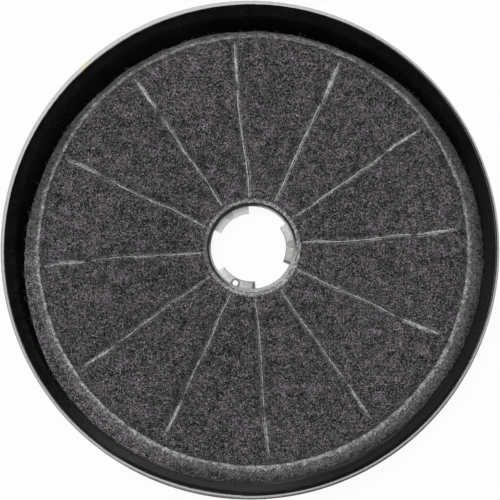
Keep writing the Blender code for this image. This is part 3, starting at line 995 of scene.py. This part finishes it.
def felt_sheet(felt, tray_sizes):
    """The sheet as a fine polar grid: upper face, turned-up margin, and back."""
    angles = felt_columns()
    crease = crease_radius(felt, tray_sizes, angles)
    inner = hole_radius(felt, tray_sizes, angles)
    rows = quilted_rows(felt, tray_sizes, angles, inner, crease)
    rows += margin_rows(felt, angles, crease, *margin_tip(felt, tray_sizes, angles, crease))
    level = np.full(len(angles), felt_back())
    rows += [(inner + (crease - inner) * t, level) for t in (1.0, 0.75, 0.5, 0.25, 0.0)]
    points = [np.stack([r * np.cos(angles), r * np.sin(angles), z], 1) for r, z in rows]
    faces = bands(len(rows), len(rows), len(angles))
    return shaded(placed("felt_sheet", np.concatenate(points).tolist(), faces), sharp=70)


def needled_grain(look):
    """Brightness of the needled fibres, with strands three ways, and their relief."""
    grain, fine = look.noise(1050, 2, 0.7, 0.3), look.noise(2300, 1, 0.6)
    clouds, tufts = look.noise(26, 2, 0.5), look.noise(230, 2, 0.6)
    pits = look.cells(470).step(0.2, 0.05)
    light = 0.71 + (grain - 0.5) * 8.5 + (fine - 0.5) * 11.0 + (clouds - 0.5) * 0.9 - pits * 0.75
    light = light + (tufts - 0.5) * 3.8 + (look.noise(110, 1) - 0.5) * 1.2
    for turn in (0.35, 1.45, 2.55):
        along = look.stretched((1.0, 3.0, 1.0), turn)
        strand = abs(look.noise(400, 1, 0.5, 0.8, along) - 0.5).step(0.034, 0.0)
        light = light + (strand - 0.14) * 2.3
    return light, grain * 0.6 + fine * 0.3


def seam_threads(look, felt, slow, quick, patchy, speck):
    """Whitish threads along the sealed seams, bolder in the outer strokes."""
    radius = look.radius
    share = ((look.angle - FIRST_RIB) / SECTOR + 0.5).fraction() - 0.5
    line = (share * SECTOR).sine() * radius
    outer = radius.step(felt.seam_break + 0.001, 0.089) * radius.step(felt.seam_end, 0.091)
    width = 0.00026 + outer * 0.00034
    first = abs((line + (slow - 0.5) * 0.0044 + (quick - 0.5) * 0.0006) / width).step(1.0, 0.4)
    second = line + (slow - 0.5) * 0.006 + (quick - 0.5) * 0.0014 + 0.0007
    second = abs(second / width).step(1.0, 0.4) * 0.7 * (0.4 + 0.6 * outer)
    haze = abs((line + (slow - 0.5) * 0.0044) / 0.0024).step(1.0, 0.3)
    haze = haze * speck * (0.34 + 0.14 * outer)
    ends = radius.step(felt.seam_start - 0.0012, felt.seam_start + 0.0004)
    ends = ends * radius.step(felt.seam_end + 0.0005, felt.seam_end - 0.0025)
    gap = 1 - 0.85 * abs(radius - felt.seam_break - 0.0008).step(0.0032, 0.001)
    gaps = look.noise(60, 2).step(0.36, 0.52)
    thread = (0.45 + 0.75 * patchy) * (0.75 + 0.3 * gaps) * (0.7 + 0.5 * speck)
    seam = (first.most(second) * thread * 1.3 + haze * 0.85) * ends * gap
    # Painted light: the seams are brighter towards 60°.
    return seam * (1.08 - 0.16 * outer) * (0.88 + 0.24 * look.towards(60))


def crease_threads(look, outside, quick, patchy, speck):
    """The pale crease over the weld ring, doubled and folded towards the bottom, and painted
    brighter there as painted light.
    """
    crease = abs(outside + 0.0002 + (quick - 0.5) * 0.0012).step(0.0009, 0.0003)
    crease = crease * (0.35 + 0.65 * patchy) * (0.3 + 0.75 * speck)
    second = abs(outside - 0.0007 + (quick - 0.5) * 0.0014).step(0.0005, 0.0001) * patchy * speck
    lower = look.towards(265).step(-0.5, 0.6)
    # Painted light: the crease and its fold are brighter towards 265°.
    crease = crease.most(second * lower) * (0.75 + 0.35 * lower)
    fold = outside.step(-0.0008, 0.0002) * outside.step(0.0034, 0.0018)
    return crease * 1.5 + fold * (0.3 + 0.7 * speck) * (0.6 + 0.5 * lower) * 0.28


def hole_rim(look, felt, tray_sizes, quick, speck):
    """The whitish cut edge of the felt round the hub's hole, dimmer towards 187° and with painted
    light towards 292°.
    """
    inward = look.radius - tray_sizes.bore_radius - felt.hole_inset + (quick - 0.5) * 0.0014
    rim = inward.step(0.0023, 0.001) * inward.step(0.0, 0.0003) * (0.28 + 1.15 * speck)
    rim = rim * (1 - 0.6 * look.towards(187).step(0.8, 0.97))
    # Painted light: the edge is paler towards 292°.
    return rim * (1 + 0.4 * look.towards(292).step(0.3, 0.85)) * 0.9


def felt_shade(look, light, outside):
    """The fibres' brightness, paler at the hub, with painted shade and painted light on the
    margin by direction.
    """
    near_hub = look.radius.step(0.036, 0.024) * 0.4
    middle = 0.87 + 0.13 * look.radius.step(0.045, 0.095)
    # Painted shade: the margin is darker on the side towards 95°.
    shady = outside.step(0.0004, 0.002) * look.towards(95).step(0.1, 0.6)
    # Painted shade: the margin's tip is darker towards 15°.
    outer = outside.step(0.0022, 0.0042) * look.towards(15).step(0.5, 0.9)
    # Painted light: the margin is paler towards 213°, where light falls on it.
    lit_margin = outside.step(0.0005, 0.0025) * outside.step(0.0078, 0.005)
    lit_margin = lit_margin * look.towards(213).step(0.7, 0.95)
    light = (light + near_hub) * middle * (1 - 0.5 * shady) * (1 - 0.35 * outer)
    return light * (1 + 1.2 * lit_margin)


def grey_felt(felt, tray_sizes):
    """Needled felt: pale fibres over dark ones, whitish where it is pressed."""
    look = Finish("grey_felt", Roughness=0.95, Sheen_Weight=0.1, Sheen_Roughness=0.5,
                  Specular_IOR_Level=0.12)
    slow, quick = look.noise(40, 1), look.noise(420, 2)
    patchy = look.noise(260, 2, 0.7).step(0.36, 0.6)
    speck = look.noise(900, 2, 0.7).step(0.46, 0.66)
    lean = (look.angle - felt.shift_towards).cosine() * felt.shift
    outside = look.radius - lean - weld_ring_radius(tray_sizes) + (slow - 0.5) * 0.0012
    light, relief = needled_grain(look)
    pale = seam_threads(look, felt, slow, quick, patchy, speck)
    pale = pale + crease_threads(look, outside, quick, patchy, speck)
    pale = (pale + hole_rim(look, felt, tray_sizes, quick, speck)).clamped()
    light = felt_shade(look, light, outside).most(0.04).least(6.0)
    # pale holds the pressed seams, crease and cut edge, with the painted light of their masks.
    look.set("Base Color", look.mix(pale, look.scaled(felt.felt, light), felt.pressed))
    look.bump(relief * (1 - 0.5 * pale), 0.0005, 0.7)
    return look.material


def carbon(pellets):
    """Matt extruded carbon with a fine crackle and a little dust."""
    look = Finish("carbon_pellets", Roughness=0.62, Specular_IOR_Level=0.45)
    grain = look.noise(1500, 3, 0.65)
    pits = look.cells(1900).step(0.0, 0.35)
    dust = look.noise(240, 3, 0.6).step(0.45, 0.75)
    shade = grain * 1.2 + 0.3 + dust * 1.1
    look.set("Base Color", look.scaled(pellets.carbon, shade))
    look.set("Roughness", 0.42 + grain * 0.35)
    look.bump(grain * 0.7 + pits * 0.4, 0.0002, 0.7)
    return look.material


def cell_outline(tray_sizes, inset, height):
    """The outline of the first cell between two ribs, inset all round."""
    side = tray_sizes.rib_thickness / 2 + inset
    inner = tray_sizes.bore_radius + tray_sizes.collar_wall + inset
    outer = weld_ring_radius(tray_sizes) - tray_sizes.ring_thickness / 2 - inset
    near, far = math.asin(side / inner), math.asin(side / outer)
    sweep = [i / 8 for i in range(9)]
    points = [(inner, SECTOR - near + (2 * near - SECTOR) * t) for t in sweep]
    points += [(outer, far + (SECTOR - 2 * far) * t) for t in sweep]
    return [polar(r, FIRST_RIB + a, height) for r, a in points]


def pellet_shape(pellets):
    """One short rod with broken edges, lying along X."""
    radius, half = pellets.radius, pellets.length / 2
    levels = [(-half, 0.72), (-half * 0.86, 1.0), (half * 0.86, 1.0), (half, 0.72)]
    rings = [[(x, radius * k * math.cos(a), radius * k * math.sin(a)) for a in whole_turn(8)]
             for x, k in levels]
    return solid("pellet_shape", rings)


def pellet_layers(shape, material):
    """A tree that scatters pellets on a cell's floor in two layers, below a core."""
    tree = Tree("Pellet layers", Spacing="Float", Lift="Float", Seed="Int")
    both = new_node(tree.tree, "GeometryNodeJoinGeometry")
    for layer in range(2):
        seed = tree.math("ADD", tree["Seed"], 50 * layer)
        points = tree.node("DistributePointsOnFaces", {"distribute_method": "POISSON"},
                           Mesh=tree["Geometry"], Distance_Min=tree["Spacing"],
                           Density_Max=200000.0, Seed=seed)
        lift = tree.math("MULTIPLY", tree["Lift"], float(layer))
        moved = tree.node("SetPosition", {}, Geometry=points,
                          Offset=tree.node("ShaderNodeCombineXYZ", {}, Z=lift))
        rod = new_node(tree.tree, "GeometryNodeObjectInfo", {}, Object=shape)
        rods = tree.scattered(moved, rod.outputs["Geometry"], seed,
                              ((-3.0, -0.2, 0.0), (3.0, 0.2, 2 * math.pi)),
                              ((0.62, 0.94, 0.94), (1.18, 1.04, 1.04)))
        tree.tree.links.new(rods, both.inputs[0])
    tree.finish(both.outputs[0], material)
    return tree


def joined(name, pieces, material):
    """Several meshes in one, of one material."""
    work = bmesh.new()
    for piece in pieces:
        work.from_mesh(piece.data)
    mesh = bpy.data.meshes.new(name)
    work.to_mesh(mesh)
    work.free()
    mesh.materials.append(material)
    mesh.polygons.foreach_set("material_index", [0] * len(mesh.polygons))
    for piece in pieces:
        bpy.data.objects.remove(piece)
    return add(bpy.data.objects.new(name, mesh))


def pellet_beds(tray_sizes, pellets):
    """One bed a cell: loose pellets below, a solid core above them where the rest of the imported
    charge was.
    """
    material = carbon(pellets)
    shape = pellet_shape(pellets)
    tree = pellet_layers(shape, material)
    layer, above_layers, from_ribs = 1.55, 0.6, 0.0002
    bottom = BED_LOW[2] + pellets.radius
    lift = pellets.radius * layer
    core_bottom = bottom + lift + pellets.radius * above_layers
    beds = []
    for i in range(SECTORS):
        turn = Matrix.Rotation(i * SECTOR, 4, "Z")
        plan = cell_outline(tray_sizes, pellets.radius + from_ribs, bottom)
        corners = [turn @ Vector(point) for point in reversed(plan)]
        floor = placed("cell_floor", corners, [range(len(plan))])
        loose = tree.run(floor, f"loose_{i}", Spacing=pellets.spacing, Lift=lift,
                         Seed=SEED + i)
        rings = [[turn @ Vector(point) for point in cell_outline(tray_sizes, CLEARANCE, z)]
                 for z in (core_bottom, BED_HIGH[2])]
        bed = joined(f"pellet_bed_{i + 1:02d}", [loose, solid(f"core_{i}", rings)], material)
        beds.append(shaded(bed, sharp=48))
    bpy.data.objects.remove(shape)
    return beds


def fibre_tree(material):
    """A tree that scatters curled fibres over the felt's upper face."""
    tree = Tree("Loose fibres", Density="Float", Thickness="Float", Seed="Int")
    up, height = (new_node(tree.tree, "ShaderNodeSeparateXYZ", {}, tree.node(kind)).outputs[2]
                  for kind in ("InputNormal", "InputPosition"))
    least_up, least_height = 0.3, felt_back() + 0.0004
    upper = tree.math("MULTIPLY", tree.math("GREATER_THAN", up, least_up),
                      tree.math("GREATER_THAN", height, least_height))
    spread = tree.node("DistributePointsOnFaces", {}, Mesh=tree["Geometry"],
                       Selection=upper, Density=tree["Density"], Seed=tree["Seed"])
    curl = tree.node("CurvePrimitiveBezierSegment", {"mode": "OFFSET"}, Resolution=3,
                     Start=(-0.0019, 0.0, -0.00012), Start_Handle=(0.0012, 0.0013, 0.0004),
                     End=(0.0019, 0.0005, -0.00012), End_Handle=(-0.001, 0.0009, 0.0005))
    curls = tree.scattered(spread, curl, tree["Seed"],
                           ((-0.7, -0.25, 0.0), (0.7, 0.25, 2 * math.pi)),
                           ((0.35, -1.6, 0.4), (1.2, 1.6, 1.0)))
    outline = tree.node("CurvePrimitiveCircle", {"mode": "RADIUS"}, Resolution=3,
                        Radius=tree["Thickness"])
    tree.finish(tree.node("CurveToMesh", {}, Curve=tree.node("RealizeInstances", {}, curls),
                          Profile_Curve=outline, Fill_Caps=True), material)
    return tree


def fibre_finish(name, dark, light):
    """Grey synthetic fibres of one tone."""
    look = Finish(name, Roughness=0.8, Specular_IOR_Level=0.2)
    tone = look.noise(700, 1).step(0.42, 0.7)
    look.set("Base Color", look.mix(tone, dark, light))
    return look.material


def loose_fibres(felt, sheet):
    """Fibres that lie on the sheet and stand out of it, pale ones and dark ones."""
    tones = (("pale_fibres", (0.09, 0.085, 0.09), (0.26, 0.255, 0.26)),
             ("dark_fibres", (0.008, 0.007, 0.008), (0.03, 0.028, 0.03)))
    inner, outer, thickness = 0.0235, 0.107, 0.000042
    density = felt.fibres / (math.pi * (outer ** 2 - inner ** 2))
    made = []
    for i, (name, dark, light) in enumerate(tones):
        copy = add(bpy.data.objects.new(name, sheet.data.copy()))
        tree = fibre_tree(fibre_finish(name, dark, light))
        made.append(tree.run(copy, name, Density=density, Thickness=thickness, Seed=SEED + i))
    return made


def seen_plainly(tree):
    """1 to the camera and in reflections, where the studio is plain white; 0 as a light."""
    seen = new_node(tree, "ShaderNodeLightPath").outputs
    share = Value(tree, seen["Is Camera Ray"]).most(Value(tree, seen["Is Glossy Ray"]))
    return share.most(Value(tree, seen["Is Transmission Ray"]))


def blended(tree, output, share, first, second):
    """Ends a tree in a blend of two shaders."""
    both = new_node(tree, "ShaderNodeMixShader", {}, share, first.outputs[0], second.outputs[0])
    tree.links.new(both.outputs[0], tree.nodes[output].inputs["Surface"])


def pale_floor(stage):
    """A pale floor that shows white to the camera and keeps the object's shadow."""
    look = Finish("pale_floor", Roughness=0.9, Specular_IOR_Level=0.0)
    look.set("Base Color", stage.floor)
    glow = look.node("ShaderNodeEmission", {}, Color=(1.0, 1.0, 1.0), Strength=1.0)
    blended(look.tree, "Material Output", seen_plainly(look.tree) * 0.9, look.shader, glow)
    return look.material


def studio_world():
    """Soft fill light that looks white to the camera and in reflections."""
    world = bpy.data.worlds.new("studio_world")
    bpy.context.scene.world = world
    world.use_nodes = True
    tree = world.node_tree
    fill = tree.nodes["Background"]
    plug(tree, fill.inputs["Color"], (0.98, 0.99, 1.0))
    plug(tree, fill.inputs["Strength"], 0.36)
    white = new_node(tree, "ShaderNodeBackground", {}, Strength=1.0)
    blended(tree, "World Output", seen_plainly(tree), fill, white)


def camera(stage):
    """Looks down the hub's axis, a little tilted, as the photograph does."""
    data = given(bpy.data.cameras.new("camera"), sensor_width=36.0, lens=stage.lens,
                 shift_x=stage.shift_x / stage.picture, shift_y=stage.shift_y / stage.picture)
    made = add(bpy.data.objects.new("camera", data))
    turn = Matrix.Rotation(stage.tilt_x, 4, "X") @ Matrix.Rotation(stage.tilt_y, 4, "Y")
    made.matrix_world = Matrix.Translation((0.0, 0.0, stage.camera_height)) @ turn
    bpy.context.scene.camera = made


def softbox(stage):
    """One large rectangular lamp that faces the hub from above, a little behind and left."""
    data = given(bpy.data.lights.new("softbox", "AREA"), shape="RECTANGLE",
                 size=stage.lamp_width, size_y=stage.lamp_depth, energy=stage.lamp_power)
    lamp = add(bpy.data.objects.new("softbox", data))
    place = Vector((-stage.lamp_left, stage.lamp_back, stage.lamp_height))
    turn = place.to_track_quat("Z", "X").to_matrix().to_4x4()
    lamp.matrix_world = Matrix.Translation(place) @ turn


class FILTER_OT_tray(bpy.types.Operator):
    """Make the slotted moulding."""

    bl_idname = "carbon_filter.tray"
    bl_label = "Tray"

    def execute(self, context):
        piece = tray(context.scene.filter_tray)
        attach(piece, "root")
        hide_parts("cassette_tray")
        return {"FINISHED"}


class FILTER_OT_felt(bpy.types.Operator):
    """Make the quilted felt cover and the fibres that stand out of it."""

    bl_idname = "carbon_filter.felt"
    bl_label = "Felt cover"

    def execute(self, context):
        felt, tray_sizes = context.scene.filter_felt, context.scene.filter_tray
        sheet = felt_sheet(felt, tray_sizes)
        sheet.data.materials.append(grey_felt(felt, tray_sizes))
        fibres = loose_fibres(felt, sheet)
        for piece in (sheet, *fibres):
            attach(piece, "root")
        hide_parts("felt_cover")
        return {"FINISHED"}


class FILTER_OT_pellets(bpy.types.Operator):
    """Make the twelve beds of carbon pellets."""

    bl_idname = "carbon_filter.pellets"
    bl_label = "Pellet beds"

    def execute(self, context):
        beds = pellet_beds(context.scene.filter_tray, context.scene.filter_pellets)
        for bed, charge in zip(beds, CHARGES):
            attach(bed, "root")
            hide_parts(charge)
        return {"FINISHED"}


class FILTER_OT_stage(bpy.types.Operator):
    """Make the floor, the lamp, the world and the camera."""

    bl_idname = "carbon_filter.stage"
    bl_label = "Stage"

    def execute(self, context):
        stage = context.scene.filter_stage
        half = 2.5
        corners = [(-half, -half, 0.0), (half, -half, 0.0), (half, half, 0.0), (-half, half, 0.0)]
        floor = placed("floor", corners, [(0, 1, 2, 3)])
        floor.data.materials.append(pale_floor(stage))
        camera(stage)
        softbox(stage)
        studio_world()
        return {"FINISHED"}


class FILTER_PT_parts(bpy.types.Panel):
    """Lists what can be made."""

    bl_idname = "FILTER_PT_parts"
    bl_label = "Carbon filter cassette"
    bl_space_type = "VIEW_3D"
    bl_region_type = "UI"
    bl_category = "Filter"

    def draw(self, context):
        for operator in OPERATORS:
            self.layout.operator(operator.bl_idname)


SIZES = {"filter_tray": TraySizes, "filter_felt": FeltSizes, "filter_pellets": PelletSizes,
         "filter_stage": StageSizes}
OPERATORS = (FILTER_OT_tray, FILTER_OT_felt, FILTER_OT_pellets, FILTER_OT_stage)


def register():
    for kind in (*SIZES.values(), *OPERATORS, FILTER_PT_parts):
        bpy.utils.register_class(kind)
    for name, kind in SIZES.items():
        setattr(bpy.types.Scene, name, PointerProperty(type=kind))


def unregister():
    for name in SIZES:
        delattr(bpy.types.Scene, name)
    for kind in (FILTER_PT_parts, *OPERATORS, *SIZES.values()):
        bpy.utils.unregister_class(kind)


def main():
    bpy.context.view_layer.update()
    register()
    bpy.context.scene.view_settings.view_transform = "Standard"
    bpy.ops.carbon_filter.stage()
    bpy.ops.carbon_filter.tray()
    bpy.ops.carbon_filter.pellets()
    bpy.ops.carbon_filter.felt()


if __name__ == "__main__":
    main()
